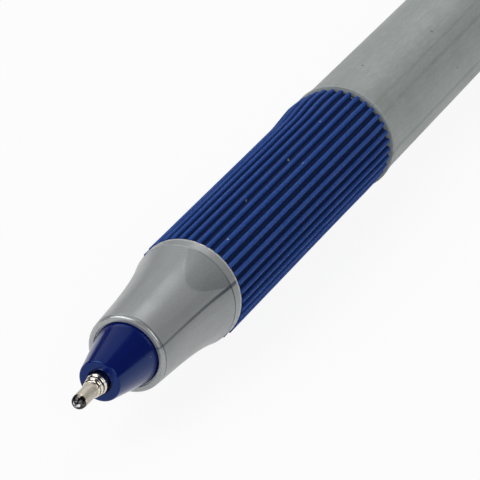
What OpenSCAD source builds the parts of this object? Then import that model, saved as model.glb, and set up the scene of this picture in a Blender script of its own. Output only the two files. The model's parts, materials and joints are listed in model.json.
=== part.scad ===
// Capped stick ballpoint pen: needle point and ink tube held in a coloured nose cone,
// a silver front section with a ribbed rubber grip, a silver barrel and a cap posted on the tail.
// It lies on its side with its axis along Y, point towards -Y, resting on the barrel's mouth and the clip.
// The origin is under the middle of its box. Millimetres.

/* [Writing point] */
// Diameter of the rolling ball
ball_d = 1.0; // [0.7:0.1:1.2]
// Diameter of the straight needle behind the ball
needle_d = 1.5; // [1.4:0.05:1.6]
// Length of point that stands out of the nose cone
point_reach = 4.7; // [4.5:0.1:6]

/* [Nose cone] */
// Length of the visible cone
cone_len = 5.5; // [5:0.1:7]
// Diameter of the flat front face
cone_face_d = 4.2; // [4:0.1:4.6]
// Diameter where the cone meets the silver rim
cone_base_d = 6.7; // [6.4:0.05:6.9]

/* [Front section] */
// Diameter of the silver rim round the cone
rim_d = 8.05; // [7.9:0.05:8.3]
// Length from the rim to the front of the grip
nose_len = 13.9; // [12:0.1:16]
// Diameter of the lip in front of the grip
lip_d = 11.1; // [10.8:0.1:11.4]

/* [Grip] */
// Length of the rubber sleeve
grip_len = 37.3; // [30:0.1:42]
// Diameter over the ribs
grip_d = 11.5; // [11.4:0.1:11.8]
// Number of ribs round the sleeve
rib_count = 36; // [30:1:38]
// Width of one rib
rib_w = 0.56; // [0.5:0.02:0.6]

/* [Barrel] */
// Length of the barrel, mouth to tail
barrel_len = 51; // [46:1:60]
// Diameter of the barrel
barrel_d = 11.7; // [11.5:0.1:11.9]
// Diameter of the flared mouth next to the grip
mouth_d = 12.05; // [11.9:0.05:12.2]

/* [Cap] */
// Overall length of the cap
cap_len = 36; // [34:1:44]
// Outside diameter at the cap's mouth
cap_d = 11.3; // [11:0.1:11.6]
// Length of the tail that the cap is posted on
tail_len = 14; // [12:0.5:15]
// Diameter of that tail
tail_d = 8.6; // [8.4:0.1:8.7]
// Width of the pocket clip
clip_w = 3.6; // [3:0.1:4]

/* [Hidden] */
$fn = 96;
eps = 0.01;
slide_gap = 0.04;
seat_gap = 0.02;

// Stations along the pen, measured from the front of the ball.
cone_face_z = point_reach;
rim_z = cone_face_z + cone_len;
grip_z = rim_z + nose_len;
mouth_z = grip_z + grip_len;
shoulder_z = mouth_z + barrel_len;
tail_end_z = shoulder_z + tail_len;
cap_stop_gap = 0.15;
cap_mouth_z = shoulder_z + cap_stop_gap;
cap_end_z = cap_mouth_z + cap_len;
axis_height = mouth_d / 2;

// Ball and point: the socket is spun over the ball, and three turned rings lead to the shank.
ball_r = ball_d / 2;
ball_gap = 0.015;
ball_showing = 0.32;
spun_lip_z = ball_showing * ball_d;
spun_lip_r = sqrt(pow(ball_r + ball_gap, 2) - pow(ball_r - spun_lip_z, 2));
spun_wall = 0.06;
spun_end_z = 0.9 * ball_d;
needle_r = needle_d / 2;
ring_r = [0.9, 0.98, 1.06];
ring_pitch = 0.54;
ring_neck = 0.09;
ring_front_z = cone_face_z - 3 * ring_pitch - ring_neck;
shank_r = 1.15;
shank_z = cone_face_z + 2 * ring_neck;
shank_len = 3.8;
ink_channel_r = 0.35;
tube_seat_z = cone_face_z + shank_len;
spigot_in_tube = 4;

// Ink tube: it ends just inside the tail plug.
tube_r = 1.5;
tube_bore_r = 1.0;
tail_plug_len = 9;
tube_len = shoulder_z - tail_plug_len + 1 - tube_seat_z;
ink_fill = 0.78;
ink_len = ink_fill * tube_len;
follower_len = 4;
ink_z = tube_seat_z + spigot_in_tube;

// Nose cone: a stepped plug, bored for the point and counterbored for the tube.
cone_hole_r = 1.165;
cone_edge = 0.15;
plug_r = 3.0;
plug_len = 8;

// Front section.
rim_r = rim_d / 2;
rim_edge = 0.22;
rim_band = 0.65;
rim_groove = 0.06;
lip_r = lip_d / 2;
lip_band = 1.35;
lip_round = 0.16;
flare_len = nose_len - lip_band;
nose_draft = 0.06;
flare_rise = lip_r - lip_round - rim_r - nose_draft * flare_len;
flare_steps = 18;
seat_r = 4.7;
core_r = 3.3;
joint_len = 9;
joint_lead = 1;
joint_chamfer = 0.4;
snap_z = mouth_z + 6;
snap_r = 0.14;

// Grip sleeve.
rib_r = rib_w / 2;
rib_top_r = grip_d / 2;
rib_h = 0.45;
web_r = rib_top_r - rib_h;
rib_end_slope = 0.9;

// Barrel.
barrel_r = barrel_d / 2;
barrel_bore_r = seat_r + seat_gap;
mouth_r = mouth_d / 2;
mouth_flare = 2.8;
mouth_edge = 0.08;
barrel_edge = 0.2;
flare_points = 8;

// Tail plug.
tail_r = tail_d / 2;
tail_wall = 1.1;
tail_round = 0.8;
vent_r = 0.6;

// Cap and clip. The clip turns on a round knuckle in the cap's boss.
cap_r = cap_d / 2;
cap_draft = 0.45;
cap_round = 1.4;
cap_edge = 0.15;
cap_gap = 0.06;
cap_bore_r = tail_r + cap_gap;
cap_inner_r = 3.9;
cap_bore_spare = 0.6;
cap_bore_len = tail_len + cap_bore_spare;
crown_wall = 2.2;
cap_vent_r = 0.8;
clip_t = 1.4;
clip_gap = 1.35;
clip_low = cap_r + clip_gap;
knuckle_r = clip_t / 2;
boss_len = 3.8;
knuckle_z = cap_end_z - boss_len;
knuckle_v = clip_low + knuckle_r;
boss_setback = 0.2;
boss_slope = 1.0;
clip_setback = 4.5;
clip_end_z = cap_mouth_z + clip_setback;
clip_bump_r = 1.3;
clip_bump_gap = 0.2;

// The pen rolls until the clip's lower edge meets the surface: clip_drop is the clip's angle below level.
clip_top = clip_low + clip_t;
clip_floor_gap = 0.02;
clip_corner = atan2(clip_w / 2, clip_top);
clip_drop = asin((axis_height - clip_floor_gap) / norm([clip_top, clip_w / 2])) - clip_corner;
clip_reach = clip_top * cos(clip_drop) + clip_w / 2 * sin(clip_drop);
axis_x = (mouth_r - clip_reach) / 2;

// Lays a piece that is drawn along +Z, ball first, on its side along +Y.
module lay() {
  translate([axis_x, -cap_end_z / 2, axis_height]) rotate([-90, 0, 0]) children();
}

// Stands a side outline (distance along the pen, distance from the axis) on the clip's side, w wide.
module side_outline(w) {
  translate([axis_x, -cap_end_z / 2, axis_height]) rotate([0, 90 + clip_drop, 0])
    rotate([90, 0, 90]) linear_extrude(height = w, center = true) children();
}

// Revolves an outline of (radius, station) points.
module turned(points) {
  rotate_extrude() polygon(points);
}

function nose_r(u) = rim_r + nose_draft * u + flare_rise * pow(u / flare_len, 4);
function mouth_flare_r(t) = barrel_r + (mouth_r - barrel_r) * pow(1 - t, 2);

module writing_ball() {
  color("silver") lay() translate([0, 0, ball_r]) sphere(r = ball_r);
}

module point_socket() {
  ring_points = [
    for (i = [0:2])
      let (z = ring_front_z + i * ring_pitch)
        each [
          [ring_r[i] - ring_neck, z],
          [ring_r[i], z + ring_neck],
          [ring_r[i], z + ring_pitch - 2 * ring_neck],
          [ring_r[i] - ring_neck, z + ring_pitch - ring_neck]
        ]
  ];
  color("tan") lay() difference() {
    turned(concat(
      [
        [0, spun_lip_z], [spun_lip_r + spun_wall, spun_lip_z],
        [needle_r, spun_end_z], [needle_r, ring_front_z]
      ],
      ring_points,
      [
        [shank_r, shank_z], [shank_r, tube_seat_z], [tube_bore_r, tube_seat_z],
        [tube_bore_r, ink_z], [0, ink_z]
      ]
    ));
    translate([0, 0, ball_r]) sphere(r = ball_r + ball_gap);
    cylinder(r = spun_lip_r, h = ball_r);
    cylinder(r = ink_channel_r, h = ink_z + eps);
  }
}

module ink_tube() {
  color("lightgray") lay() translate([0, 0, tube_seat_z]) difference() {
    cylinder(r = tube_r, h = tube_len);
    translate([0, 0, -eps]) cylinder(r = tube_bore_r, h = tube_len + 2 * eps);
  }
}

module ink_column() {
  color("midnightblue") lay() translate([0, 0, ink_z]) cylinder(r = tube_bore_r, h = ink_len);
}

module ink_follower() {
  color("lightyellow") lay()
    translate([0, 0, ink_z + ink_len]) cylinder(r = tube_bore_r, h = follower_len);
}

module nose_cone() {
  color("navy") lay() turned([
    [cone_hole_r, cone_face_z], [cone_face_d / 2 - cone_edge, cone_face_z],
    [cone_face_d / 2, cone_face_z + cone_edge], [cone_base_d / 2, rim_z],
    [plug_r, rim_z], [plug_r, rim_z + plug_len], [tube_r, rim_z + plug_len],
    [tube_r, tube_seat_z], [cone_hole_r, tube_seat_z]
  ]);
}

module front_section() {
  nose = [
    for (i = [0:flare_steps])
      let (u = rim_band + (flare_len - rim_band) * i / flare_steps) [nose_r(u), rim_z + u]
  ];
  color("silver") lay() difference() {
    union() {
      turned(concat(
        [
          [0, rim_z], [rim_r - rim_edge, rim_z], [rim_r, rim_z + rim_edge],
          [rim_r, rim_z + rim_band - 2 * rim_groove], [rim_r - rim_groove, rim_z + rim_band - rim_groove]
        ],
        nose,
        [
          [lip_r, grip_z - lip_band + lip_round], [lip_r, grip_z], [seat_r, grip_z],
          [seat_r, mouth_z + joint_len - joint_lead],
          [seat_r - joint_chamfer, mouth_z + joint_len], [0, mouth_z + joint_len]
        ]
      ));
      translate([0, 0, snap_z]) rotate_extrude() translate([seat_r, 0]) circle(r = snap_r);
    }
    translate([0, 0, rim_z - eps]) cylinder(r = plug_r + seat_gap, h = plug_len + 1);
    translate([0, 0, rim_z + plug_len]) cylinder(r = core_r, h = mouth_z);
  }
}

module grip_sleeve() {
  color("mediumblue") lay() intersection() {
    translate([0, 0, grip_z + seat_gap]) linear_extrude(height = grip_len - 2 * seat_gap) difference() {
      union() {
        circle(r = web_r);
        for (i = [0:rib_count - 1])
          rotate(i * 360 / rib_count) translate([rib_top_r - rib_r, 0]) {
            circle(r = rib_r, $fn = 24);
            translate([-rib_r, -rib_r]) square([rib_r, rib_w]);
          }
      }
      circle(r = seat_r + seat_gap);
    }
    turned([
      [0, grip_z], [rib_top_r + rib_h, grip_z], [rib_top_r + rib_h, mouth_z - 2 * rib_h * rib_end_slope],
      [web_r, mouth_z], [0, mouth_z]
    ]);
  }
}

module barrel() {
  flare = [
    for (i = [0:flare_points])
      let (t = i / flare_points) [mouth_flare_r(t), mouth_z + mouth_edge + mouth_flare * t]
  ];
  color("silver") lay() difference() {
    turned(concat(
      [[barrel_bore_r, mouth_z], [mouth_r - mouth_edge, mouth_z]],
      flare,
      [
        [barrel_r, shoulder_z - barrel_edge], [barrel_r - barrel_edge, shoulder_z],
        [barrel_bore_r, shoulder_z]
      ]
    ));
    translate([0, 0, snap_z]) rotate_extrude()
      translate([seat_r, 0]) circle(r = snap_r + seat_gap);
  }
}

module tail_plug() {
  color("navy") lay() difference() {
    turned([
      [0, shoulder_z - tail_plug_len], [seat_r, shoulder_z - tail_plug_len], [seat_r, shoulder_z],
      [tail_r, shoulder_z], [tail_r, tail_end_z - tail_round], [tail_r - tail_round, tail_end_z],
      [0, tail_end_z]
    ]);
    translate([0, 0, shoulder_z - tail_plug_len - eps])
      cylinder(r = tail_r - tail_wall, h = tail_plug_len + tail_len - 2 * tail_wall);
    cylinder(r = vent_r, h = tail_end_z + 1);
  }
}

module cap_shell() {
  color("navy") {
    difference() {
      union() {
        lay() turned([
          [0, cap_mouth_z], [cap_r - cap_edge, cap_mouth_z], [cap_r, cap_mouth_z + cap_edge],
          [cap_r - cap_draft, cap_end_z - cap_round],
          for (a = [15:15:75]) [
            cap_r - cap_draft - cap_round * (1 - cos(a)), cap_end_z - cap_round * (1 - sin(a))
          ],
          [cap_r - cap_draft - cap_round, cap_end_z], [0, cap_end_z]
        ]);
        side_outline(clip_w) polygon([
          [knuckle_z + boss_setback, 0], [knuckle_z + boss_setback, clip_top],
          [cap_end_z - boss_slope, clip_top],
          [cap_end_z - cap_edge, clip_top - boss_slope],
          [cap_end_z - cap_edge, 0]
        ]);
      }
      lay() {
        translate([0, 0, cap_mouth_z - eps]) cylinder(r = cap_bore_r, h = cap_bore_len);
        cylinder(r = cap_inner_r, h = cap_end_z - crown_wall);
        cylinder(r = cap_vent_r, h = cap_end_z + 1);
      }
      side_outline(clip_w + 1) translate([knuckle_z, knuckle_v]) circle(r = knuckle_r + slide_gap);
    }
  }
}

module pocket_clip() {
  bump_z = clip_end_z + clip_bump_r;
  bump_v = cap_r + clip_bump_gap + clip_bump_r;
  color("navy") side_outline(clip_w) union() {
    translate([clip_end_z + knuckle_r, clip_low]) square([knuckle_z - clip_end_z - knuckle_r, clip_t]);
    translate([clip_end_z + knuckle_r, knuckle_v]) circle(r = knuckle_r);
    translate([knuckle_z, knuckle_v]) circle(r = knuckle_r);
    translate([bump_z, bump_v]) circle(r = clip_bump_r);
  }
}

writing_ball();
point_socket();
ink_tube();
ink_column();
ink_follower();
nose_cone();
front_section();
grip_sleeve();
barrel();
tail_plug();
cap_shell();
pocket_clip();
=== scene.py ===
"""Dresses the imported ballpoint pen: turned point, ribbed rubber grip, silver and blue mouldings."""
import json
import math

import bmesh
import bpy
from mathutils import Matrix, Vector


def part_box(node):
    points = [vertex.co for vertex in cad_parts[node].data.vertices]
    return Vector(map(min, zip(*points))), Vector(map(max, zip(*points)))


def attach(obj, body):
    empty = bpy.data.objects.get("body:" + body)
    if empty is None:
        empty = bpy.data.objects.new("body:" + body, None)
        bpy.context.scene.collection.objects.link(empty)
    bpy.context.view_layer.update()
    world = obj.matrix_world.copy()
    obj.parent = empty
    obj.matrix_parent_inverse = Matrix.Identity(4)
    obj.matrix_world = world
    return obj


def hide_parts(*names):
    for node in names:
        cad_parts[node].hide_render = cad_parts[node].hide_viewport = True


bl_info = {
    "name": "Ballpoint Pen",
    "version": (1, 0, 0),
    "blender": (4, 5, 0),
    "location": "View3D > Sidebar > Pen",
    "description": "Builds the dressed pieces of a capped ballpoint pen round its packed frame",
    "category": "Object",
}

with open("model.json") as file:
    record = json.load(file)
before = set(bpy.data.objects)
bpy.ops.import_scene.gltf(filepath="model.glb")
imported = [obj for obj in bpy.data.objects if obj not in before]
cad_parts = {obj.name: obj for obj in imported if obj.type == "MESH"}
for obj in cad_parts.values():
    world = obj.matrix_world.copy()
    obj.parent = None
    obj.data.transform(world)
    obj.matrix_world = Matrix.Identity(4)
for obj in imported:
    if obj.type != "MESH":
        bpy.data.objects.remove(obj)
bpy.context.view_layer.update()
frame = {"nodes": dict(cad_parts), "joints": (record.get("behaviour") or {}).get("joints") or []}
BOXES = {node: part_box(node) for node in frame["nodes"]}

MM = 0.001
AXIS = sum(BOXES["barrel"], Vector()) / 2
CLIP_SIDE = Vector(next(j["axis"] for j in frame["joints"] if j["name"] == "clip_flex"))
CLIP_OUT = Vector((CLIP_SIDE.z, 0.0, -CLIP_SIDE.x))

# Stations along the pen are counted from a mark this far ahead of the cone's face, in millimetres
START_AHEAD = 5.2
START_Y = BOXES["nose_cone"][0].y - START_AHEAD * MM

# The gap between pieces that fit, and radii inside the pen that pieces share, in millimetres
FIT = 0.02
TUBE_BORE = 1.0
FILLING = TUBE_BORE + 0.004
SHANK = 1.15
TUBE = 1.5
PLUG = 3.0
SLEEVE = 4.7
BORE = SLEEVE + FIT

# The snap bead behind the barrel's mouth, in millimetres
BEAD_BEHIND = 6.0
BEAD_HALF = 0.18
BEAD_TOP = 4.83

# The clip's top, its hinge and the radius of its knuckle, in millimetres
CLIP_TOP = 8.4
CLIP_HINGE = 7.7
KNUCKLE = CLIP_TOP - CLIP_HINGE

# Length of the lip in front of the grip, and its seam behind the lip's start, in millimetres
LIP_LENGTH = 1.35
SEAM_BEHIND = 0.08

# Steps in a rounded corner of an outline
ROUND_STEPS = 5


def front(node):
    """Where a CAD node begins, in millimetres behind the start mark."""
    return (BOXES[node][0].y - START_Y) / MM


def back(node):
    """Where a CAD node ends, in millimetres behind the start mark."""
    return (BOXES[node][1].y - START_Y) / MM


def reach(node):
    """The largest radius of a round CAD node, in metres."""
    low, high = BOXES[node]
    return (high.x - low.x) / 2


def srgb(red, green, blue):
    """Turns a colour written as 0 to 255 into the linear values that shaders take."""
    def linear(value):
        value /= 255
        return value / 12.92 if value <= 0.04045 else ((value + 0.055) / 1.055) ** 2.4
    return linear(red), linear(green), linear(blue)


def scaled(tone, factor):
    """A colour made lighter or darker."""
    return tuple(min(1.0, value * factor) for value in tone)


def smooth(value):
    """Eases 0 to 1."""
    value = min(1.0, max(0.0, value))
    return value * value * (3 - 2 * value)


def length(name, description, default):
    """A size in metres."""
    return bpy.props.FloatProperty(
        name=name, description=description, default=default, min=0.0, precision=5,
        subtype="DISTANCE", unit="LENGTH")


def colour(name, description, red, green, blue):
    """A colour, written as 0 to 255."""
    return bpy.props.FloatVectorProperty(
        name=name, description=description, default=srgb(red, green, blue),
        size=3, min=0.0, max=1.0, subtype="COLOR")


class PenSizes(bpy.types.PropertyGroup):
    """Sizes of the pen's pieces."""

    ball_radius: length("Ball radius", "Radius of the rolling ball", reach("writing_ball"))
    needle_radius: length("Needle radius", "Radius of the straight needle behind the ball", 0.735 * MM)
    cone_face_radius: length("Cone face radius", "Radius of the cone's flat front", 2.1 * MM)
    cone_base_radius: length("Cone base radius", "Radius where the cone meets the rim", reach("nose_cone"))
    rim_radius: length("Rim radius", "Radius of the silver rim round the cone", 4.025 * MM)
    lip_radius: length("Lip radius", "Radius of the lip in front of the grip", reach("front_section"))
    rib_count: bpy.props.IntProperty(
        name="Ribs", description="Number of ribs round the grip", default=36, min=12, max=60)
    rib_radius: length("Rib radius", "Radius over the ribs at the middle of the grip", 5.75 * MM)
    rib_width: length("Rib width", "Width of one rib at its foot", 0.64 * MM)
    rib_height: length("Rib height", "Height of a rib over the web", 0.52 * MM)
    swell: length("Swell", "How far the loose rear of the sleeve stands out on one side", 0.32 * MM)
    barrel_radius: length("Barrel radius", "Radius of the barrel", 5.85 * MM)
    mouth_radius: length("Mouth radius", "Radius of the barrel's flared mouth", reach("barrel"))
    tail_radius: length("Tail radius", "Radius of the tail that the cap is posted on", 4.3 * MM)
    cap_radius: length("Cap radius", "Outside radius at the cap's mouth", 5.65 * MM)
    clip_width: length("Clip width", "Width of the pocket clip", 3.6 * MM)


class PenColours(bpy.types.PropertyGroup):
    """Colours of the pen's pieces and of the stage."""

    silver: colour("Silver", "Silver plastic of the nose", 177, 180, 180)
    shell: colour("Barrel silver", "Silver plastic of the barrel", 173, 179, 177)
    # Worn silver also colours a painted highlight along the nose's flow mark.
    worn: colour("Worn silver", "Paler silver on edges and rubbed places", 224, 224, 220)
    # The flow-mark silver also colours painted shade on the nose: in the groove behind the rim, at the seam
    # before the lip, and near the top behind the rim.
    flow: colour("Flow mark", "Darker silver along the weld line and the flow marks", 56, 66, 78)
    blue: colour("Blue plastic", "Cone, tail, cap and clip", 11, 24, 94)
    rubber: colour("Rubber", "Ribs of the grip", 46, 82, 158)
    # The web colour is painted shade: it darkens the valleys between the ribs and the low flanks of the ribs.
    web: colour("Web", "Rubber between the ribs", 30, 50, 98)
    nickel: colour("Nickel silver", "Turned point", 230, 223, 207)
    tarnish: colour("Tarnish", "Darker streaks on the turned point", 173, 164, 151)
    carbide: colour("Carbide", "Rolling ball", 232, 232, 236)
    stain: colour("Ink stain", "Dried ink on the point", 16, 8, 24)
    tube: colour("Tube", "Milky tube of the refill", 236, 240, 242)
    ink: colour("Ink", "Ink in the tube", 20, 32, 128)
    grease: colour("Follower", "Grease behind the ink", 214, 200, 150)
    dust: colour("Dust", "Specks of dust", 196, 198, 196)
    grit: colour("Grit", "Brown specks on the grip", 84, 58, 46)
    floor: colour("Floor", "Floor under the pen", 250, 250, 250)


# Shapes

def place(station, radius, around=0.0):
    """A point on the pen, from its station and radius in millimetres and its degrees from the top."""
    angle = math.radians(around)
    return Vector((
        AXIS.x + radius * math.sin(angle) * MM,
        START_Y + station * MM,
        AXIS.z + radius * math.cos(angle) * MM))


def whereabouts(spot):
    """The station, radius and degrees from the top of a point on the pen."""
    off = spot - AXIS
    station = (spot.y - START_Y) / MM
    return station, math.hypot(off.x, off.z) / MM, math.degrees(math.atan2(off.x, off.z))


def round_corner(bm, vert, offset, steps=ROUND_STEPS, clamp=True):
    """Rounds one corner of an outline."""
    bmesh.ops.bevel(
        bm, geom=[vert], offset=offset * MM, offset_type="OFFSET", segments=steps,
        profile=0.5, affect="VERTICES", clamp_overlap=clamp, material=-1)


def draw_chain(bm, spots, closed=False):
    """Draws edges from spot to spot."""
    verts = [bm.verts.new(spot) for spot in spots]
    for start, end in zip(verts, verts[1:]):
        bm.edges.new((start, end))
    if closed:
        bm.edges.new((verts[-1], verts[0]))
    return verts


def draw_outline(bm, points, closed=True):
    """Draws an outline of (station, radius, rounding) points; a rounding bevels that corner."""
    verts = draw_chain(bm, [place(*point[:2]) for point in points], closed)
    for vert, point in zip(verts, points):
        if len(point) == 3:
            round_corner(bm, vert, point[2])


def merge_doubles(bm, apart):
    """Merges vertices that lie no further apart than this, in millimetres."""
    bmesh.ops.remove_doubles(bm, verts=bm.verts[:], dist=apart * MM)


def face_outwards(bm):
    """Turns every face outwards."""
    bmesh.ops.recalc_face_normals(bm, faces=bm.faces[:])


def spin_round(bm, steps, **joining):
    """Spins all that is drawn once about the pen's axis."""
    bmesh.ops.spin(
        bm, geom=bm.verts[:] + bm.edges[:], cent=AXIS, axis=(0, 1, 0), dvec=(0, 0, 0),
        angle=2 * math.pi, steps=steps, **joining)


def verts_in(geometry):
    """The vertices in what a mesh operation returns."""
    return [item for item in geometry if isinstance(item, bmesh.types.BMVert)]


def extrude_ring(bm, ring):
    """Extrudes a ring of edges where it lies; returns the fresh vertices and the fresh ring."""
    grown = bmesh.ops.extrude_edge_only(bm, edges=ring)["geom"]
    fresh = verts_in(grown)
    among = set(fresh)
    edges = [item for item in grown if isinstance(item, bmesh.types.BMEdge)]
    return fresh, [edge for edge in edges if among.issuperset(edge.verts)]


def to_mesh(bm, name):
    """Writes the drawn shape to a new mesh and lets the drawing go."""
    mesh = bpy.data.meshes.new(name)
    bm.to_mesh(mesh)
    bm.free()
    return mesh


def keep(bm, name, body, node, material):
    """Makes the finished mesh a piece that rides a body and stands for a CAD node."""
    sharp_angle = math.radians(48)
    mesh = to_mesh(bm, name)
    if not mesh.polygons:
        raise RuntimeError(f"{name} came out empty")
    mesh.shade_smooth()
    mesh.set_sharp_from_angle(angle=sharp_angle)
    mesh.materials.append(material)
    piece = bpy.data.objects.new(name, mesh)
    bpy.context.scene.collection.objects.link(piece)
    even = piece.modifiers.new("Even shading", "WEIGHTED_NORMAL")
    even.keep_sharp = True
    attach(piece, body)
    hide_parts(node)


def turn(points, closed=True, steps=144):
    """Turns an outline about the pen's axis, as on a lathe."""
    bm = bmesh.new()
    draw_outline(bm, points, closed)
    spin_round(bm, steps, use_merge=True, use_duplicate=False)
    merge_doubles(bm, 1e-4)
    face_outwards(bm)
    return bm


def cut_plate(bm, width, edge):
    """Makes a plate of the outline drawn so far, rounds its edges and sets it on the clip's side."""
    merge_doubles(bm, 1e-4)
    bmesh.ops.contextual_create(bm, geom=bm.edges[:])
    bmesh.ops.translate(bm, verts=bm.verts[:], vec=(-width / 2, 0, 0))
    grown = bmesh.ops.extrude_face_region(bm, geom=bm.faces[:])["geom"]
    bmesh.ops.translate(bm, verts=verts_in(grown), vec=(width, 0, 0))
    face_outwards(bm)
    rim = [item for item in bm.edges if item.calc_face_angle(0.0) > math.radians(60)]
    bmesh.ops.bevel(
        bm, geom=rim, offset=edge * MM, offset_type="OFFSET", segments=3, profile=0.5,
        affect="EDGES", clamp_overlap=True, material=-1)
    lean = Matrix((CLIP_SIDE, Vector((0, 1, 0)), CLIP_OUT)).transposed().to_4x4()
    spot = Matrix.Translation(AXIS)
    bmesh.ops.transform(bm, matrix=spot @ lean @ spot.inverted(), verts=bm.verts[:])


def point_outline(size):
    """The turned point from the lip round the ball to the spigot in the tube, with its bore."""
    needle, ball = size.needle_radius / MM, size.ball_radius / MM
    tip, face, tube = front("writing_ball"), front("nose_cone"), front("ink_tube")
    end = back("point_socket")
    lip, lip_inside, lip_outside = tip + 0.17, 0.40, 0.46
    shoulder, shoulder_radius = tip + 0.40, 0.66
    needle_start = tip + 0.72
    rings, ring_count = face - 1.71, 3
    ring_pitch, ring_width = 0.54, 0.46
    ring_radius, ring_growth = 0.91, 0.09
    neck, neck_end = 0.96, face + 0.55
    spigot = TUBE_BORE - 0.01
    channel, channel_start = 0.35, tip + 1.15
    outline = [
        (lip, lip_inside), (lip, lip_outside, 0.02), (shoulder, shoulder_radius, 0.10),
        (needle_start, needle, 0.06), (rings, needle, 0.02)]
    for ring in range(ring_count):
        at = rings + ring_pitch * ring
        radius = ring_radius + ring_growth * ring
        outline += [
            (at, radius - 0.12, 0.03), (at + 0.05, radius, 0.06),
            (at + ring_width - 0.06, radius, 0.06), (at + ring_width, radius - 0.10, 0.03)]
    outline += [
        (face + 0.05, neck, 0.03), (neck_end, neck, 0.03), (neck_end + 0.07, SHANK, 0.04),
        (tube, SHANK, 0.05), (tube, spigot), (end, spigot, 0.05), (end, channel), (channel_start, channel)]
    socket = ball + 0.017
    throat = math.sqrt(socket ** 2 - channel ** 2)
    for behind in (throat, 0.24, 0.0, -0.20):
        outline.append((tip + ball + behind, math.sqrt(socket ** 2 - behind ** 2)))
    return outline


def nose_outline(size):
    """The silver nose from its rim to the lip: bead, groove, slight taper and a flare."""
    rim, lip = size.rim_radius / MM, size.lip_radius / MM
    start, end = front("front_section"), front("grip_sleeve") - FIT
    seat, seat_radius = start + 0.25, 3.44
    bead, bead_top = start + 0.30, rim + 0.01
    groove = rim - 0.08
    taper_start = 0.52
    lip_start = end - LIP_LENGTH
    flare = lip_start - start
    taper = 0.06
    rise = lip - 0.08 - rim - taper * flare
    steps = 24
    outline = [
        (seat, PLUG + FIT), (seat, seat_radius), (start, seat_radius, 0.04),
        (start, rim - 0.20, 0.08), (start + 0.16, bead_top, 0.12), (bead, bead_top, 0.06),
        (bead + 0.06, groove, 0.03), (bead + 0.15, groove, 0.03)]
    for step in range(steps + 1):
        along = taper_start + (flare - taper_start) * step / steps
        outline.append((start + along, rim + taper * along + rise * (along / flare) ** 4))
    return outline + [
        (lip_start + SEAM_BEHIND, lip - 0.16, 0.03), (lip_start + 2 * SEAM_BEHIND, lip - 0.06, 0.02),
        (end - 0.24, lip - 0.03, 0.03), (end - 0.18, lip, 0.02), (end - 0.03, lip, 0.02), (end, lip - 0.06)]


def swell_at(station, around, size):
    """How far the rear of the sleeve stands out: it is loose on the side away from the clip."""
    end = back("grip_sleeve")
    rise_start, rise_length = end - 8.6, 5.6
    fall_end, fall_length = end - 0.2, 2.2
    loosest, half_angle = -46.0, 78.26
    all_round = 0.12
    lengthwise = smooth((station - rise_start) / rise_length) * smooth((fall_end - station) / fall_length)
    off = abs((around - loosest + 180.0) % 360.0 - 180.0)
    across = math.cos(min(1.0, off / half_angle) * math.pi / 2) ** 2
    return size.swell / MM * lengthwise * (all_round + (1 - all_round) * across)


def rib_shape(vert, size, rise):
    """Moves a vertex of the straight ribbed tube to where the moulded and stretched sleeve has it."""
    start, end = front("grip_sleeve"), back("grip_sleeve")
    web = (size.rib_radius - size.rib_height) / MM
    pitch = 360.0 / size.rib_count
    dome_end, dome_length = end - 0.04, 0.28
    end_width = 0.35
    front_squeeze, rear_stretch = 0.05, 0.06
    tuck_start, tuck_length, tuck_depth = end - 2.2, 2.0, 0.03
    station, out, around = whereabouts(vert.co)
    rib = round(around / pitch) * pitch
    aside = around - rib
    near_end = min(1.0, max(0.0, (dome_end - station) / dome_length))
    dome = math.sqrt(1 - (1 - near_end) ** 2)
    lift = (out - web) * dome
    vert[rise] = lift / (size.rib_height / MM)
    on_rib = abs(out - web) > 0.004
    if on_rib:
        aside *= end_width + (1 - end_width) * dome
    along = (station - start) / (end - start)
    stretch = rear_stretch * smooth((along - 0.45) * 2.2) - front_squeeze * smooth(1 - along * 2)
    tuck = tuck_depth * smooth((station - tuck_start) / tuck_length)
    moved = web + lift + stretch - tuck + swell_at(station, rib, size)
    vert.co = place(station, moved, rib + aside)


def draw_ribs(bm, size):
    """Draws one rib with half a valley on each side at the sleeve's front, and copies it round."""
    start = front("grip_sleeve")
    web, top = (size.rib_radius - size.rib_height) / MM, size.rib_radius / MM
    foot = size.rib_width / 2 / MM
    foot_rounding = 0.12
    crest = foot * 0.55
    pitch = 360.0 / size.rib_count
    aside = Vector((MM, 0, 0))
    verts = draw_chain(bm, [
        place(start, web, -pitch / 2), place(start, web) - foot * aside,
        place(start, top) - crest * aside, place(start, top) + crest * aside,
        place(start, web) + foot * aside, place(start, web, pitch / 2)])
    for vert in (verts[1], verts[4]):
        round_corner(bm, vert, foot_rounding, steps=3, clamp=False)
    for vert in (verts[2], verts[3]):
        round_corner(bm, vert, crest, clamp=False)
    merge_doubles(bm, 1e-3)
    spin_round(bm, size.rib_count, use_merge=False, use_duplicate=True)
    merge_doubles(bm, 1e-2)


def ribbed_sleeve(size):
    """Draws the ring of ribs out along the pen, shapes it, and closes it round its bore."""
    start, end = front("grip_sleeve"), back("grip_sleeve")
    spans = 22
    # Millimetres before the rear end, where the ribs round off
    last_stops = (0.80, 0.32, 0.26, 0.20, 0.15, 0.11, 0.08, 0.055, 0.04, 0.0)
    stops = [start + (end - start) * span / spans for span in range(1, spans)]
    stops += [end - gap for gap in last_stops]
    bm = bmesh.new()
    rise = bm.verts.layers.float.new("rib_rise")
    draw_ribs(bm, size)
    first_ring = bm.edges[:]
    ring = first_ring
    at = start
    for stop in sorted(stops):
        fresh, ring = extrude_ring(bm, ring)
        bmesh.ops.translate(bm, verts=fresh, vec=(0, (stop - at) * MM, 0))
        at = stop
    for vert in bm.verts:
        rib_shape(vert, size, rise)
    for station in (end, start):
        fresh, ring = extrude_ring(bm, ring)
        for vert in fresh:
            vert.co = place(station, BORE, whereabouts(vert.co)[2])
    bmesh.ops.bridge_loops(bm, edges=ring + first_ring)
    merge_doubles(bm, 1e-4)
    face_outwards(bm)
    return bm


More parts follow.
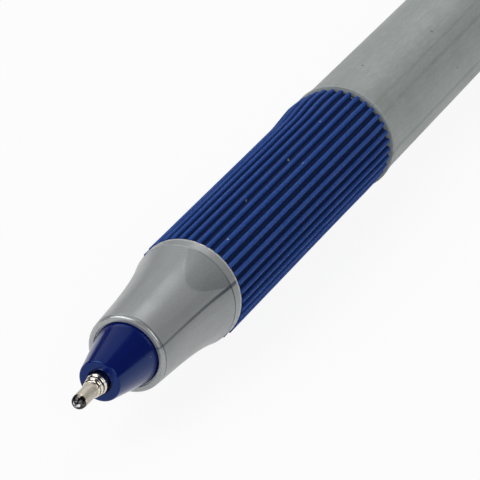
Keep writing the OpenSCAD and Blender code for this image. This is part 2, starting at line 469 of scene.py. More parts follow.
def clip_boss(size):
    """The boss that carries the clip: a plate on the cap's end with a round seat for the knuckle."""
    end = back("cap_shell")
    hinge = end - 3.8
    seat = KNUCKLE + 0.04
    seat_top = math.sqrt(seat ** 2 - KNUCKLE ** 2)
    root, root_behind = 4.7, 0.2
    boss_end, corner_radius = end - 0.16, 7.4
    boss = bmesh.new()
    draw_outline(boss, [
        (hinge + root_behind, root), (boss_end, root), (boss_end, corner_radius, 0.5),
        (end - 1.0, CLIP_TOP, 0.5), (hinge + seat_top, CLIP_TOP)], closed=False)
    corner = place(hinge + root_behind, root)
    foot = min(boss.verts, key=lambda vert: (vert.co - corner).length)
    low = boss.verts.new(place(hinge + root_behind, CLIP_HINGE - math.sqrt(seat ** 2 - root_behind ** 2)))
    boss.edges.new((foot, low))
    bmesh.ops.spin(
        boss, geom=[low], cent=place(hinge, CLIP_HINGE), axis=(1, 0, 0), dvec=(0, 0, 0),
        angle=math.acos(root_behind / seat) + math.asin(KNUCKLE / seat), steps=10,
        use_merge=False, use_duplicate=False)
    merge_doubles(boss, 0.02)
    cut_plate(boss, size.clip_width, 0.15)
    return boss


# Finishes

class Nodes:
    """Adds shader nodes to one tree, left to right, and links them."""

    def __init__(self, tree):
        self.tree = tree

    def add(self, kind, **settings):
        """Adds a node of a kind."""
        node = self.tree.nodes.new(kind)
        for name, value in settings.items():
            setattr(node, name, value)
        row, column = divmod(len(self.tree.nodes), 12)
        node.location = (200 * column, -220 * row)
        return node

    def feed(self, socket, value):
        """Links another node's output to a socket, or sets the socket to a value."""
        if isinstance(value, bpy.types.NodeSocket):
            self.tree.links.new(value, socket)
        elif hasattr(value, "__len__") and len(value) == 3 and len(socket.default_value) == 4:
            socket.default_value = (*value, 1.0)
        else:
            socket.default_value = value

    def math(self, operation, first, second=0.0):
        """One step of arithmetic."""
        node = self.add("ShaderNodeMath", operation=operation)
        self.feed(node.inputs[0], first)
        self.feed(node.inputs[1], second)
        return node.outputs[0]

    def plus(self, total, *more):
        """Adds values up."""
        for value in more:
            total = self.math("ADD", total, value)
        return total

    def minus(self, first, second):
        """Takes one value from another."""
        return self.math("SUBTRACT", first, second)

    def times(self, product, *more):
        """Multiplies values."""
        for value in more:
            product = self.math("MULTIPLY", product, value)
        return product

    def ease(self, value, low, high, start=0.0, end=1.0):
        """Maps a value from low..high to start..end with soft ends."""
        node = self.add("ShaderNodeMapRange", interpolation_type="SMOOTHSTEP")
        self.feed(node.inputs["Value"], value)
        self.feed(node.inputs["From Min"], low)
        self.feed(node.inputs["From Max"], high)
        self.feed(node.inputs["To Min"], start)
        self.feed(node.inputs["To Max"], end)
        return node.outputs["Result"]

    def fade(self, value, low, high):
        """Falls from 1 at low to 0 at high."""
        return self.ease(value, low, high, 1.0, 0.0)

    def near(self, value, middle, core, half, peak=1.0):
        """A soft band: peak within core of the middle, and nothing past half its width."""
        off = self.math("ABSOLUTE", self.minus(value, middle))
        return self.ease(off, core, half, peak, 0.0)

    def mix(self, factor, first, second):
        """Mixes two colours."""
        node = self.add("ShaderNodeMix", data_type="RGBA")
        self.feed(node.inputs[0], factor)
        self.feed(node.inputs[6], first)
        self.feed(node.inputs[7], second)
        return node.outputs[2]

    def noise(self, vector, scale, detail=2.0, roughness=0.5):
        """A noise value round 0.5."""
        node = self.add("ShaderNodeTexNoise")
        self.feed(node.inputs["Vector"], vector)
        self.feed(node.inputs["Scale"], scale)
        self.feed(node.inputs["Detail"], detail)
        self.feed(node.inputs["Roughness"], roughness)
        return node.outputs[0]

    def bump(self, height, strength, distance):
        """A normal that stands for fine relief; the distance is in millimetres."""
        node = self.add("ShaderNodeBump")
        self.feed(node.inputs["Height"], height)
        self.feed(node.inputs["Strength"], strength)
        self.feed(node.inputs["Distance"], distance * MM)
        return node.outputs["Normal"]

    def group(self, name, **inputs):
        """Adds one of the shared node groups and returns its outputs."""
        node = self.add("ShaderNodeGroup", node_tree=bpy.data.node_groups[name])
        for key, value in inputs.items():
            self.feed(node.inputs[key], value)
        return node.outputs

    def here(self):
        """The shaded point in the piece's own space."""
        return self.add("ShaderNodeTexCoord").outputs["Object"]


def new_group(name, inputs, outputs):
    """An empty shader node group with named number sockets."""
    tree = bpy.data.node_groups.new(name, "ShaderNodeTree")
    for socket, value in inputs.items():
        tree.interface.new_socket(socket, in_out="INPUT", socket_type="NodeSocketFloat").default_value = value
    for socket in outputs:
        tree.interface.new_socket(socket, in_out="OUTPUT", socket_type="NodeSocketFloat")
    nodes = Nodes(tree)
    return nodes, nodes.add("NodeGroupInput").outputs, nodes.add("NodeGroupOutput").inputs


def make_place_group():
    """Where a point lies on the pen: its station in millimetres and its degrees from the top."""
    nodes, _, out = new_group("Place On Pen", {}, ("Along", "Around"))
    shift = nodes.add("ShaderNodeVectorMath", operation="SUBTRACT")
    nodes.feed(shift.inputs[0], nodes.here())
    nodes.feed(shift.inputs[1], (AXIS.x, START_Y, AXIS.z))
    split = nodes.add("ShaderNodeSeparateXYZ")
    nodes.feed(split.inputs[0], shift.outputs[0])
    x, y, z = split.outputs
    nodes.feed(out["Along"], nodes.math("DIVIDE", y, MM))
    nodes.feed(out["Around"], nodes.times(nodes.math("ARCTAN2", x, z), 180 / math.pi))


def make_grain_group():
    """Fine moulded grain: a height for bump and a slow mottle for colour."""
    nodes, given, out = new_group("Moulded Grain", {"Scale": 4000.0}, ("Height", "Mottle"))
    here = nodes.here()
    nodes.feed(out["Height"], nodes.noise(here, given["Scale"], 3.0, 0.6))
    nodes.feed(out["Mottle"], nodes.noise(here, nodes.times(given["Scale"], 0.06), 2.0))


def make_speck_group():
    """Scattered round specks: a mask."""
    nodes, given, out = new_group("Specks", {"Scale": 900.0, "Amount": 0.05, "Size": 0.2}, ("Mask",))
    cells = nodes.add("ShaderNodeTexVoronoi")
    nodes.feed(cells.inputs["Vector"], nodes.here())
    nodes.feed(cells.inputs["Scale"], given["Scale"])
    chance = nodes.add("ShaderNodeSeparateColor")
    nodes.feed(chance.inputs[0], cells.outputs["Color"])
    chosen = nodes.math("LESS_THAN", chance.outputs[0], given["Amount"])
    size = nodes.times(given["Size"], nodes.plus(chance.outputs[1], 0.4))
    inside = nodes.fade(cells.outputs["Distance"], nodes.times(size, 0.6), size)
    nodes.feed(out["Mask"], nodes.times(chosen, inside))


def make_streak_group():
    """Streaks drawn out along the pen: a value round 0.5."""
    nodes, given, out = new_group("Lengthwise Streaks", {"Fineness": 12.0, "Stretch": 0.03}, ("Value",))
    where = nodes.group("Place On Pen")
    angle = nodes.times(where["Around"], math.pi / 180)
    spot = nodes.add("ShaderNodeCombineXYZ")
    nodes.feed(spot.inputs[0], nodes.math("SINE", angle))
    nodes.feed(spot.inputs[1], nodes.times(where["Along"], given["Stretch"]))
    nodes.feed(spot.inputs[2], nodes.math("COSINE", angle))
    nodes.feed(out["Value"], nodes.noise(spot.outputs[0], given["Fineness"], 4.0, 0.6))


def new_finish(name, **constants):
    """A material with one Principled shader; constants go straight on its sockets."""
    material = bpy.data.materials.new(name)
    material.use_nodes = True
    nodes = Nodes(material.node_tree)
    shader = material.node_tree.nodes["Principled BSDF"]
    for socket, value in constants.items():
        nodes.feed(shader.inputs[socket.replace("_", " ")], value)
    return material, nodes, shader.inputs


def silver_base(nodes, shader, colours, silver, dark, pale, rough):
    """Metallic-flecked silver plastic, darkened and paled by masks."""
    grain = nodes.group("Moulded Grain", Scale=5200.0)
    streak = nodes.group("Lengthwise Streaks", Fineness=9.0, Stretch=0.02)
    fleck = nodes.ease(grain["Height"], 0.35, 0.72, 0.0, 0.10)
    drift = nodes.ease(streak["Value"], 0.35, 0.70, 0.0, 0.05)
    cloud = nodes.ease(grain["Mottle"], 0.35, 0.75, 0.0, 0.04)
    toned = nodes.mix(nodes.plus(dark, fleck, drift, cloud), silver, colours.flow)
    nodes.feed(shader["Base Color"], nodes.mix(pale, toned, colours.worn))
    uneven = nodes.ease(grain["Mottle"], 0.3, 0.7, -0.04, 0.04)
    nodes.feed(shader["Roughness"], nodes.plus(uneven, rough))
    nodes.feed(shader["Normal"], nodes.bump(grain["Height"], 0.12, 0.02))


def weld_marks(nodes, along, from_weld):
    """The dark line where two flows of plastic met, and the shade on either side of it."""
    line_start, line_end = front("front_section") + 1.3, front("grip_sleeve") - 0.62
    line_core, line_half = 0.6, 2.8
    shade_before, shade_past = 26.0, 22.0
    step = 1.6
    line = nodes.times(
        nodes.near(from_weld, 0.0, line_core, line_half),
        nodes.ease(along, line_start, line_end, 0.46, 0.70))
    upper = nodes.times(
        nodes.ease(from_weld, -shade_before, -1.0, 0.0, 0.18), nodes.fade(from_weld, 0.0, step))
    lower = nodes.times(
        nodes.ease(from_weld, 0.5, shade_past, 0.27, 0.13), nodes.ease(from_weld, 0.0, step))
    return nodes.plus(line, upper, lower)


def behind_flow_front(nodes, along, around):
    """How far a place on the nose lies behind the bowed front of the flow mark, in millimetres."""
    foremost = front("front_section") + 8.2
    middle, half_angle = 36.0, 25.0
    bow_depth = 3.0
    aside = nodes.math("DIVIDE", nodes.minus(around, middle), half_angle)
    return nodes.minus(nodes.minus(along, foremost), nodes.times(aside, aside, bow_depth))


def flow_pool(nodes, along, from_weld, behind):
    """The darker pool of the flow mark, between the weld line and the lip."""
    seam = front("grip_sleeve") - FIT - LIP_LENGTH
    far_side, full = -56.0, -20.0
    return nodes.times(
        nodes.ease(behind, -0.2, 0.30, 0.0, 0.26), nodes.fade(from_weld, -2.0, 1.0),
        nodes.ease(from_weld, far_side, full, 0.55, 1.0),
        nodes.ease(along, seam - 0.05, seam + 0.25, 1.0, 0.15))


def painted_flow_highlight(nodes, along, around, behind):
    """Painted highlight: a pale spike along the flow mark's front edge, on its far side."""
    spike_start = front("front_section") + 8.9
    spike_end = spike_start + 2.8
    far_side, near_side = 12.0, 24.0
    return nodes.times(
        nodes.near(behind, -0.4, 0.0, 0.45, 0.20), nodes.fade(around, far_side, near_side),
        nodes.ease(along, spike_start, spike_start + 1.0), nodes.fade(along, spike_end - 1.2, spike_end))


def nose_finish(colours):
    """Silver plastic with the weld line and the flow mark of the nose, painted shade in the rim's groove, at
    the lip's seam and near the top behind the rim, and a painted highlight along the flow mark.
    """
    material, nodes, shader = new_finish("silver_nose", Coat_Roughness=0.12, Specular_IOR_Level=0.4)
    where = nodes.group("Place On Pen")
    along, around = where["Along"], where["Around"]
    rim, grip = front("front_section"), front("grip_sleeve")
    groove_at = rim + 0.41
    seam_at = grip - FIT - LIP_LENGTH + SEAM_BEHIND
    lip_edge = grip - 0.36
    weld_angle = 66.0
    from_weld = nodes.minus(around, weld_angle)
    behind = behind_flow_front(nodes, along, around)
    on_rim = nodes.fade(along, rim + 0.32, rim + 0.40)
    # Painted shade: the nose behind the rim is darkened within about 16 degrees of the top.
    far_shade = nodes.times(nodes.ease(around, 2.0, 16.0, 0.11, 0.0), nodes.ease(along, rim + 0.3, rim + 0.7))
    # Painted shade in the groove behind the rim's bead.
    groove = nodes.near(along, groove_at, 0.03, 0.11, 0.60)
    # Painted shade in the concave corner where the flare meets the lip, growing stronger from 10 to 45
    # degrees round from the top.
    seam = nodes.times(nodes.near(along, seam_at, 0.04, 0.14), nodes.ease(around, 10.0, 45.0, 0.14, 0.50))
    dark = nodes.plus(
        weld_marks(nodes, along, from_weld), flow_pool(nodes, along, from_weld, behind),
        far_shade, groove, seam)
    bubbles = nodes.times(
        nodes.group("Specks", Scale=1300.0, Amount=0.22, Size=0.13)["Mask"],
        nodes.ease(behind, 0.2, 2.0, 0.10, 0.42))
    edge = nodes.ease(along, lip_edge, lip_edge + 0.16, 0.0, 0.6)
    # The pale lip edge, and a painted highlight along the flow mark's front edge.
    pale = nodes.math("MAXIMUM", edge, painted_flow_highlight(nodes, along, around, behind))
    nodes.feed(shader["Metallic"], nodes.ease(on_rim, 0.0, 1.0, 0.16, 0.42))
    nodes.feed(shader["Coat Weight"], nodes.ease(on_rim, 0.0, 1.0, 0.08, 0.8))
    polish = nodes.ease(on_rim, 0.0, 1.0, 0.37, 0.20)
    silver_base(nodes, shader, colours, colours.silver, dark, nodes.math("MAXIMUM", pale, bubbles), polish)
    return material


def barrel_finish(colours):
    """Silver plastic with drawn streaks and a few dark specks."""
    material, nodes, shader = new_finish("silver_barrel", Metallic=0.06, Specular_IOR_Level=0.4)
    around = nodes.group("Place On Pen")["Around"]
    # Degrees from the top, half width in degrees and depth of tone of each straight streak
    streaks = (
        (51.4, 2.8, 0.13), (38.5, 2.6, 0.12), (96.0, 3.8, 0.26), (72.5, 2.4, 0.04),
        (26.0, 2.4, 0.04), (7.3, 2.4, 0.04), (-7.3, 2.6, 0.04))
    drawn = [nodes.near(around, at, 0.3, half, depth) for at, half, depth in streaks]
    specks = nodes.times(nodes.group("Specks", Scale=640.0, Amount=0.16, Size=0.11)["Mask"], 0.55)
    fine = nodes.group("Lengthwise Streaks", Fineness=20.0, Stretch=0.03)["Value"]
    rubbed = nodes.ease(fine, 0.46, 0.70, 0.0, 0.12)
    silver_base(nodes, shader, colours, colours.shell, nodes.plus(specks, *drawn), rubbed, 0.56)
    return material


def blue_finish(colours, name, rough):
    """Glossy moulded blue plastic with faint flow and a little dust."""
    material, nodes, shader = new_finish(name, Specular_IOR_Level=0.55, Specular_Tint=(0.28, 0.54, 1.0))
    grain = nodes.group("Moulded Grain", Scale=3000.0)
    flow = nodes.group("Lengthwise Streaks", Fineness=7.0, Stretch=0.05)
    dust = nodes.times(nodes.group("Specks", Scale=1500.0, Amount=0.03, Size=0.12)["Mask"], 0.35)
    body = nodes.mix(nodes.ease(flow["Value"], 0.3, 0.72), colours.blue, scaled(colours.blue, 1.15))
    nodes.feed(shader["Base Color"], nodes.mix(dust, body, colours.dust))
    nodes.feed(shader["Roughness"], nodes.ease(grain["Mottle"], 0.3, 0.7, rough, rough + 0.08))
    nodes.feed(shader["Normal"], nodes.bump(grain["Height"], 0.05, 0.02))
    return material


def cap_finish(colours):
    """The softer blue that the cap, the clip and the tail share, made on first use."""
    name = "blue_cap"
    return bpy.data.materials.get(name) or blue_finish(colours, name, 0.26)


def rubber_finish(colours):
    """Blue rubber: worn tops, webs and low flanks darkened as painted shade between the ribs, a few pale
    specks and brown grit.
    """
    material, nodes, shader = new_finish("grip_rubber", Specular_IOR_Level=0.07)
    grain = nodes.group("Moulded Grain", Scale=4200.0)
    streak = nodes.group("Lengthwise Streaks", Fineness=22.0, Stretch=0.08)
    specks = nodes.times(nodes.group("Specks", Scale=620.0, Amount=0.16, Size=0.12)["Mask"], 0.7)
    grit = nodes.times(nodes.group("Specks", Scale=430.0, Amount=0.08, Size=0.10)["Mask"], 0.8)
    rise = nodes.add("ShaderNodeAttribute", attribute_name="rib_rise").outputs["Fac"]
    # Painted shade: the web colour fills the valleys and runs up the ribs' flanks, giving way to the rubber
    # colour between 30 and 95 percent of a rib's height.
    top = nodes.ease(rise, 0.30, 0.95)
    worn = tuple(value + 0.01 for value in scaled(colours.rubber, 1.3))
    rubbed = nodes.times(nodes.ease(streak["Value"], 0.42, 0.75, 0.0, 0.55), top)
    body = nodes.mix(top, colours.web, colours.rubber)
    body = nodes.mix(rubbed, body, worn)
    body = nodes.mix(specks, body, colours.dust)
    nodes.feed(shader["Base Color"], nodes.mix(grit, body, colours.grit))
    nodes.feed(shader["Roughness"], nodes.ease(grain["Mottle"], 0.3, 0.7, 0.46, 0.60))
    nodes.feed(shader["Normal"], nodes.bump(grain["Height"], 0.16, 0.03))
    return material


def point_finish(colours):
    """Turned nickel silver: inky crimp, satin needle, polished rings."""
    material, nodes, shader = new_finish(
        "nickel_point", Specular_Tint=(0.30, 0.26, 0.30), Coat_Roughness=0.04)
    where = nodes.group("Place On Pen")
    along, around = where["Along"], where["Around"]
    grain = nodes.group("Moulded Grain", Scale=9000.0)
    drawn = nodes.group("Lengthwise Streaks", Fineness=6.0, Stretch=0.12)
    tip, face = front("writing_ball"), front("nose_cone")
    ink_end, ink_fade = tip + 0.80, 0.18
    needle_start, needle_end = tip + 0.75, face - 1.66
    needle_fade = 0.10
    bare_at, bare_start = 8.0, tip + 0.32
    bare = nodes.times(
        nodes.near(around, bare_at, 8.0, 20.0), nodes.ease(along, bare_start, bare_start + 0.14))
    patchy = nodes.ease(nodes.noise(nodes.here(), 3600.0), 0.52, 0.62, 1.0, 0.90)
    inky = nodes.times(
        nodes.fade(along, ink_end - ink_fade, ink_end), patchy, nodes.ease(bare, 0.0, 1.0, 1.0, 0.05))
    tone = nodes.mix(nodes.ease(drawn["Value"], 0.38, 0.66, 0.0, 0.5), colours.nickel, colours.tarnish)
    satin = nodes.times(
        nodes.ease(along, needle_start, needle_start + needle_fade),
        nodes.fade(along, needle_end - needle_fade, needle_end))
    nodes.feed(shader["Base Color"], nodes.mix(inky, tone, colours.stain))
    nodes.feed(shader["Metallic"], nodes.ease(satin, 0.0, 1.0, 1.0, 0.35))
    nodes.feed(shader["Roughness"], nodes.ease(satin, 0.0, 1.0, 0.09, 0.46))
    nodes.feed(shader["Coat Weight"], nodes.times(inky, 0.5))
    nodes.feed(shader["Normal"], nodes.bump(grain["Height"], 0.10, 0.01))
    return material


def ball_finish(colours):
    """Polished carbide with a smear of ink."""
    material, nodes, shader = new_finish("carbide_ball", Metallic=1.0, Coat_Weight=0.8, Coat_Roughness=0.05)
    smear = nodes.ease(nodes.noise(nodes.here(), 2600.0, 3.0), 0.44, 0.51, 0.0, 0.97)
    nodes.feed(shader["Base Color"], nodes.mix(smear, colours.carbide, colours.stain))
    nodes.feed(shader["Roughness"], nodes.ease(smear, 0.0, 1.0, 0.06, 0.2))
    return material


def tube_finish(colours):
    """Milky tube that the ink shows through."""
    material, nodes, shader = new_finish("milky_tube", Transmission_Weight=0.92, IOR=1.45)
    grain = nodes.group("Moulded Grain", Scale=2500.0)
    drawn = nodes.ease(nodes.group("Lengthwise Streaks", Fineness=8.0, Stretch=0.03)["Value"], 0.35, 0.7)
    nodes.feed(shader["Base Color"], nodes.mix(drawn, colours.tube, scaled(colours.tube, 0.82)))
    nodes.feed(shader["Roughness"], nodes.ease(grain["Mottle"], 0.3, 0.7, 0.10, 0.18))
    return material


def filling_finish(name, tone, rough):
    """Ink or grease that fills the tube, a little uneven."""
    material, nodes, shader = new_finish(name)
    swirl = nodes.noise(nodes.here(), 900.0, 3.0)
    nodes.feed(shader["Base Color"], nodes.mix(nodes.ease(swirl, 0.35, 0.65), tone, scaled(tone, 0.6)))
    nodes.feed(shader["Roughness"], nodes.ease(swirl, 0.3, 0.7, rough, rough + 0.1))
    return material


# Operators

class PEN_OT_effects(bpy.types.Operator):
    """Make the shader node groups that the finishes share"""

    bl_idname = "pen.make_effects"
    bl_label = "Shared Effects"

    def execute(self, context):
        make_place_group()
        make_grain_group()
        make_speck_group()
        make_streak_group()
        return {"FINISHED"}


class PEN_OT_ball(bpy.types.Operator):
    """Make the rolling ball"""

    bl_idname = "pen.make_ball"
    bl_label = "Writing Ball"

    def execute(self, context):
        radius = context.scene.pen_sizes.ball_radius
        bm = bmesh.new()
        bmesh.ops.create_uvsphere(bm, u_segments=48, v_segments=32, radius=radius)
        bmesh.ops.translate(bm, verts=bm.verts[:], vec=place(front("writing_ball") + radius / MM, 0.0))
        keep(bm, "ball", "ball", "writing_ball", ball_finish(context.scene.pen_colours))
        return {"FINISHED"}


class PEN_OT_point(bpy.types.Operator):
    """Turn the point: crimp, needle, three rings, shank and spigot"""

    bl_idname = "pen.make_point"
    bl_label = "Turned Point"

    def execute(self, context):
        keep(
            turn(point_outline(context.scene.pen_sizes), steps=96), "point", "refill", "point_socket",
            point_finish(context.scene.pen_colours))
        return {"FINISHED"}


class PEN_OT_cone(bpy.types.Operator):
    """Turn the blue nose cone and its plug"""

    bl_idname = "pen.make_cone"
    bl_label = "Nose Cone"

    def execute(self, context):
        size = context.scene.pen_sizes
        face, end = front("nose_cone"), back("nose_cone")
        base = front("front_section") + 0.22
        tube = front("ink_tube") - FIT
        hole = SHANK + 0.015
        mouth, mouth_end = 1.24, face + 0.6
        outline = [
            (mouth_end, hole), (mouth_end, mouth, 0.03), (face, mouth, 0.03),
            (face, size.cone_face_radius / MM, 0.17), (base, size.cone_base_radius / MM),
            (base, PLUG), (end, PLUG, 0.2), (end, TUBE + FIT), (tube, TUBE + FIT), (tube, hole)]
        keep(
            turn(outline), "cone", "refill", "nose_cone",
            blue_finish(context.scene.pen_colours, "blue_cone", 0.12))
        return {"FINISHED"}


class PEN_OT_refill(bpy.types.Operator):
    """Make the ink tube, the ink and the follower in it"""

    bl_idname = "pen.make_refill"
    bl_label = "Tube, Ink and Follower"

    def execute(self, context):
        colours = context.scene.pen_colours
        start, end = front("ink_tube"), back("ink_tube")
        tube = turn([
            (start, TUBE_BORE), (start, TUBE, 0.06), (end, TUBE, 0.06), (end, TUBE_BORE, 0.04)], steps=64)
        keep(tube, "tube", "refill", "ink_tube", tube_finish(colours))
        first, last = front("ink_column"), back("ink_column")
        ink = turn([
            (first, 0.0), (first, FILLING), (last - 0.1, FILLING), (last - 0.3, 0.7), (last - 0.4, 0.0)],
            closed=False, steps=64)
        keep(ink, "ink", "refill", "ink_column", filling_finish("blue_ink", colours.ink, 0.25))
        tail = back("ink_follower")
        grease = turn([
            (last - 0.38, 0.0), (last - 0.28, 0.7), (last - 0.08, FILLING), (tail - FIT, FILLING),
            (tail - 0.35, 0.8), (tail - 0.6, 0.4), (tail - 0.7, 0.0)],
            closed=False, steps=64)
        keep(
            grease, "follower", "refill", "ink_follower",
            filling_finish("follower_grease", colours.grease, 0.3))
        return {"FINISHED"}


class PEN_OT_front(bpy.types.Operator):
    """Turn the silver front section with its rim, flare, lip and grip seat"""

    bl_idname = "pen.make_front"
    bl_label = "Front Section"

    def execute(self, context):
        grip, end = front("grip_sleeve") - FIT, back("front_section")
        bead = front("barrel") + BEAD_BEHIND
        plug_end = back("nose_cone") + 1.0
        inside = 3.3
        outline = nose_outline(context.scene.pen_sizes) + [
            (grip, SLEEVE), (bead - BEAD_HALF, SLEEVE), (bead, BEAD_TOP, 0.08), (bead + BEAD_HALF, SLEEVE),
            (end - 1.0, SLEEVE, 0.2), (end, 4.3, 0.1), (end, inside), (plug_end, inside),
            (plug_end, PLUG + FIT)]
        keep(
            turn(outline), "front_section_moulding", "pen", "front_section",
            nose_finish(context.scene.pen_colours))
        return {"FINISHED"}


class PEN_OT_grip(bpy.types.Operator):
    """Make the ribbed rubber sleeve"""

    bl_idname = "pen.make_grip"
    bl_label = "Ribbed Grip"

    def execute(self, context):
        keep(
            ribbed_sleeve(context.scene.pen_sizes), "grip", "pen", "grip_sleeve",
            rubber_finish(context.scene.pen_colours))
        return {"FINISHED"}


class PEN_OT_barrel(bpy.types.Operator):
    """Turn the silver barrel with its flared mouth"""

    bl_idname = "pen.make_barrel"
    bl_label = "Barrel"

    def execute(self, context):
        size = context.scene.pen_sizes
        tube, wide = size.barrel_radius / MM, size.mouth_radius / MM
        start, end = front("barrel"), back("barrel")
        flare_start, flare_length = start + 0.12, 2.8
        steps = 14
        groove, groove_half = start + BEAD_BEHIND, BEAD_HALF + FIT
        outline = [(start, BORE), (start, wide - 0.09, 0.04)]
        for step in range(steps + 1):
            along = step / steps
            outline.append((flare_start + flare_length * along, tube + (wide - tube) * (1 - along) ** 2))
        outline += [
            (end, tube, 0.2), (end, BORE), (groove + groove_half, BORE), (groove, BEAD_TOP + FIT, 0.08),
            (groove - groove_half, BORE)]
        keep(
            turn(outline), "barrel_tube", "pen", "barrel",
            barrel_finish(context.scene.pen_colours))
        return {"FINISHED"}


class PEN_OT_tail(bpy.types.Operator):
    """Turn the tail plug that the cap is posted on"""

    bl_idname = "pen.make_tail"
    bl_label = "Tail Plug"

    def execute(self, context):
        tail = context.scene.pen_sizes.tail_radius / MM
        start, end, shoulder = front("tail_plug"), back("tail_plug"), back("barrel")
        inside, vent = 3.2, 0.6
        floor = end - 2.2
        outline = [
            (start, inside), (start, SLEEVE, 0.15), (shoulder, SLEEVE, 0.08), (shoulder, tail, 0.1),
            (end, tail, 0.8), (end, vent, 0.1), (floor, vent), (floor, inside, 0.3)]
        keep(
            turn(outline), "tail", "pen", "tail_plug",
            cap_finish(context.scene.pen_colours))
        return {"FINISHED"}


class PEN_OT_cap(bpy.types.Operator):
    """Turn the cap and set the clip's boss on it"""

    bl_idname = "pen.make_cap"
    bl_label = "Cap"

    def execute(self, context):
        size = context.scene.pen_sizes
        wide = size.cap_radius / MM
        start, end = front("cap_shell"), back("cap_shell")
        grasp, grasp_end = 4.36, start + 14.6
        inside, vent = 3.9, 0.8
        floor = end - 2.2
        bm = turn([
            (start, grasp, 0.12), (start, wide, 0.15), (end, wide - 0.45, 1.4), (end, vent, 0.12),
            (floor, vent, 0.05), (floor, inside, 0.4), (grasp_end, inside, 0.1), (grasp_end, grasp)])
        boss = to_mesh(clip_boss(size), "boss")
        bm.from_mesh(boss)
        bpy.data.meshes.remove(boss)
        keep(
            bm, "cap_moulding", "cap", "cap_shell",
            cap_finish(context.scene.pen_colours))
        return {"FINISHED"}


class PEN_OT_clip(bpy.types.Operator):
    """Cut the pocket clip with its knuckle and bump"""

    bl_idname = "pen.make_clip"
    bl_label = "Pocket Clip"

    def execute(self, context):
        start, end = front("pocket_clip"), back("pocket_clip")
        under = CLIP_HINGE - KNUCKLE
        bump = 5.85
        bm = bmesh.new()
        draw_outline(bm, [
            (end, under, KNUCKLE - 0.01), (end, CLIP_TOP, KNUCKLE - 0.01), (start, CLIP_TOP, 0.65),
            (start, 6.45, 0.5), (start + 0.55, bump, 0.5), (start + 1.9, bump, 0.6),
            (start + 3.2, under, 0.8)])
        cut_plate(bm, context.scene.pen_sizes.clip_width, 0.22)
        keep(bm, "clip", "clip", "pocket_clip", cap_finish(context.scene.pen_colours))
        return {"FINISHED"}


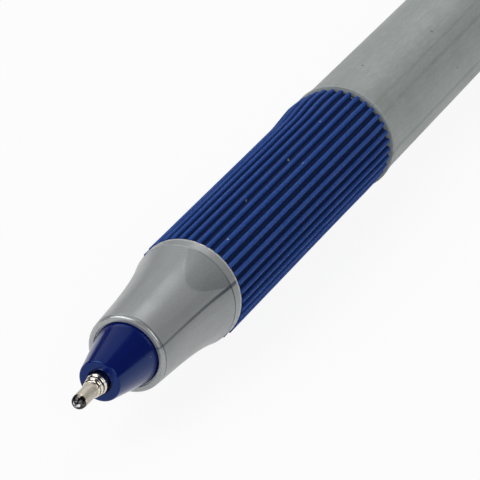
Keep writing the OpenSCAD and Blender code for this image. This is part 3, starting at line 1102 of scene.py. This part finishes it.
class PEN_OT_stage(bpy.types.Operator):
    """Lay the floor, hang the lamps and set the camera"""

    bl_idname = "pen.make_stage"
    bl_label = "Stage"

    def execute(self, context):
        scene = context.scene
        scene.view_settings.view_transform = "Standard"
        self.lay_floor(scene)
        self.hang_lamps(scene)
        self.set_camera(scene)
        return {"FINISHED"}

    def lay_floor(self, scene):
        """A white disc with its edge turned up, which glows a little where it is seen."""
        floor_radius, edge_height = 5.5, 0.5
        glow_share = 0.91
        bm = bmesh.new()
        bmesh.ops.create_circle(bm, cap_ends=True, radius=floor_radius, segments=96)
        fresh, _ = extrude_ring(bm, bm.edges[:])
        bmesh.ops.translate(bm, verts=fresh, vec=(0, 0, edge_height))
        mesh = to_mesh(bm, "floor")
        floor = bpy.data.objects.new("floor", mesh)
        scene.collection.objects.link(floor)
        material, nodes, shader = new_finish("white_floor", Roughness=0.9, Specular_IOR_Level=0.1)
        nodes.feed(shader["Base Color"], scene.pen_colours.floor)
        path = nodes.add("ShaderNodeLightPath").outputs
        seen = nodes.math("MAXIMUM", path["Is Glossy Ray"], path["Is Transmission Ray"])
        seen = nodes.math("MAXIMUM", path["Is Camera Ray"], seen)
        blend = nodes.add("ShaderNodeMixShader")
        nodes.feed(blend.inputs[0], nodes.times(seen, glow_share))
        nodes.feed(blend.inputs[1], material.node_tree.nodes["Principled BSDF"].outputs[0])
        nodes.feed(blend.inputs[2], nodes.add("ShaderNodeEmission").outputs[0])
        nodes.feed(material.node_tree.nodes["Material Output"].inputs["Surface"], blend.outputs[0])
        mesh.materials.append(material)

    def hang_lamps(self, scene):
        """A dim white room with four area lamps; places and sizes in metres, power in watts."""
        room_light = 0.07
        world = bpy.data.worlds.new("studio")
        scene.world = world
        world.use_nodes = True
        room = world.node_tree.nodes["Background"]
        room.inputs["Color"].default_value = (1.0, 1.0, 1.0, 1.0)
        room.inputs["Strength"].default_value = room_light
        grip = (0.0, -0.04, 0.0)
        under_ceiling = (-0.40, 0.45, 0.0)
        for name, spot, aim, width, depth, power in (
                ("ceiling", (-0.40, 0.45, 0.50), under_ceiling, 0.85, 1.40, 1.7),
                ("softbox", (-0.06, 0.76, 0.57), grip, 0.42, 0.50, 1.3),
                ("key", (-0.50, -0.60, 0.70), grip, 0.70, 0.70, 5.4),
                ("fill", (0.70, -0.50, 0.55), grip, 0.60, 0.60, 2.9)):
            light = bpy.data.lights.new(name, "AREA")
            light.shape = "RECTANGLE"
            light.size = width
            light.size_y = depth
            light.energy = power
            lamp = bpy.data.objects.new(name, light)
            lamp.location = spot
            lamp.rotation_euler = (Vector(aim) - Vector(spot)).to_track_quat("-Z", "Y").to_euler()
            scene.collection.objects.link(lamp)

    def set_camera(self, scene):
        """Looks at the grip from ahead of the point and above, as the photograph does."""
        azimuth, elevation = math.radians(24.8), math.radians(27.7)
        away = 0.324
        aim = place(36.2, 0.0)
        towards = Vector((
            math.sin(azimuth) * math.cos(elevation), -math.cos(azimuth) * math.cos(elevation),
            math.sin(elevation)))
        lens = bpy.data.cameras.new("photo_view")
        lens.lens = 243.0
        lens.sensor_width = 36.0
        lens.clip_start = 0.01
        lens.clip_end = 20.0
        camera = bpy.data.objects.new("photo_view", lens)
        camera.location = aim + towards * away
        camera.rotation_euler = (-towards).to_track_quat("-Z", "Y").to_euler()
        scene.collection.objects.link(camera)
        scene.camera = camera


class PEN_PT_panel(bpy.types.Panel):
    """The pen's pieces, sizes and colours"""

    bl_idname = "PEN_PT_panel"
    bl_label = "Ballpoint Pen"
    bl_space_type = "VIEW_3D"
    bl_region_type = "UI"
    bl_category = "Pen"

    def draw(self, context):
        for step in STEPS:
            self.layout.operator(step.bl_idname)
        for group in (context.scene.pen_sizes, context.scene.pen_colours):
            for name in group.bl_rna.properties.keys():
                if name not in ("rna_type", "name"):
                    self.layout.prop(group, name)


STEPS = (
    PEN_OT_effects, PEN_OT_ball, PEN_OT_point, PEN_OT_cone, PEN_OT_refill, PEN_OT_front,
    PEN_OT_grip, PEN_OT_barrel, PEN_OT_tail, PEN_OT_cap, PEN_OT_clip, PEN_OT_stage)
CLASSES = (PenSizes, PenColours) + STEPS + (PEN_PT_panel,)


def register():
    """Registers the classes and hangs the settings on the scene."""
    for cls in CLASSES:
        bpy.utils.register_class(cls)
    bpy.types.Scene.pen_sizes = bpy.props.PointerProperty(type=PenSizes)
    bpy.types.Scene.pen_colours = bpy.props.PointerProperty(type=PenColours)


def unregister():
    """Takes the settings off the scene and the classes away."""
    del bpy.types.Scene.pen_colours
    del bpy.types.Scene.pen_sizes
    for cls in reversed(CLASSES):
        bpy.utils.unregister_class(cls)


def main():
    """Builds every piece and the stage."""
    register()
    for step in STEPS:
        group, name = step.bl_idname.split(".")
        getattr(getattr(bpy.ops, group), name)()


if __name__ == "__main__":
    main()
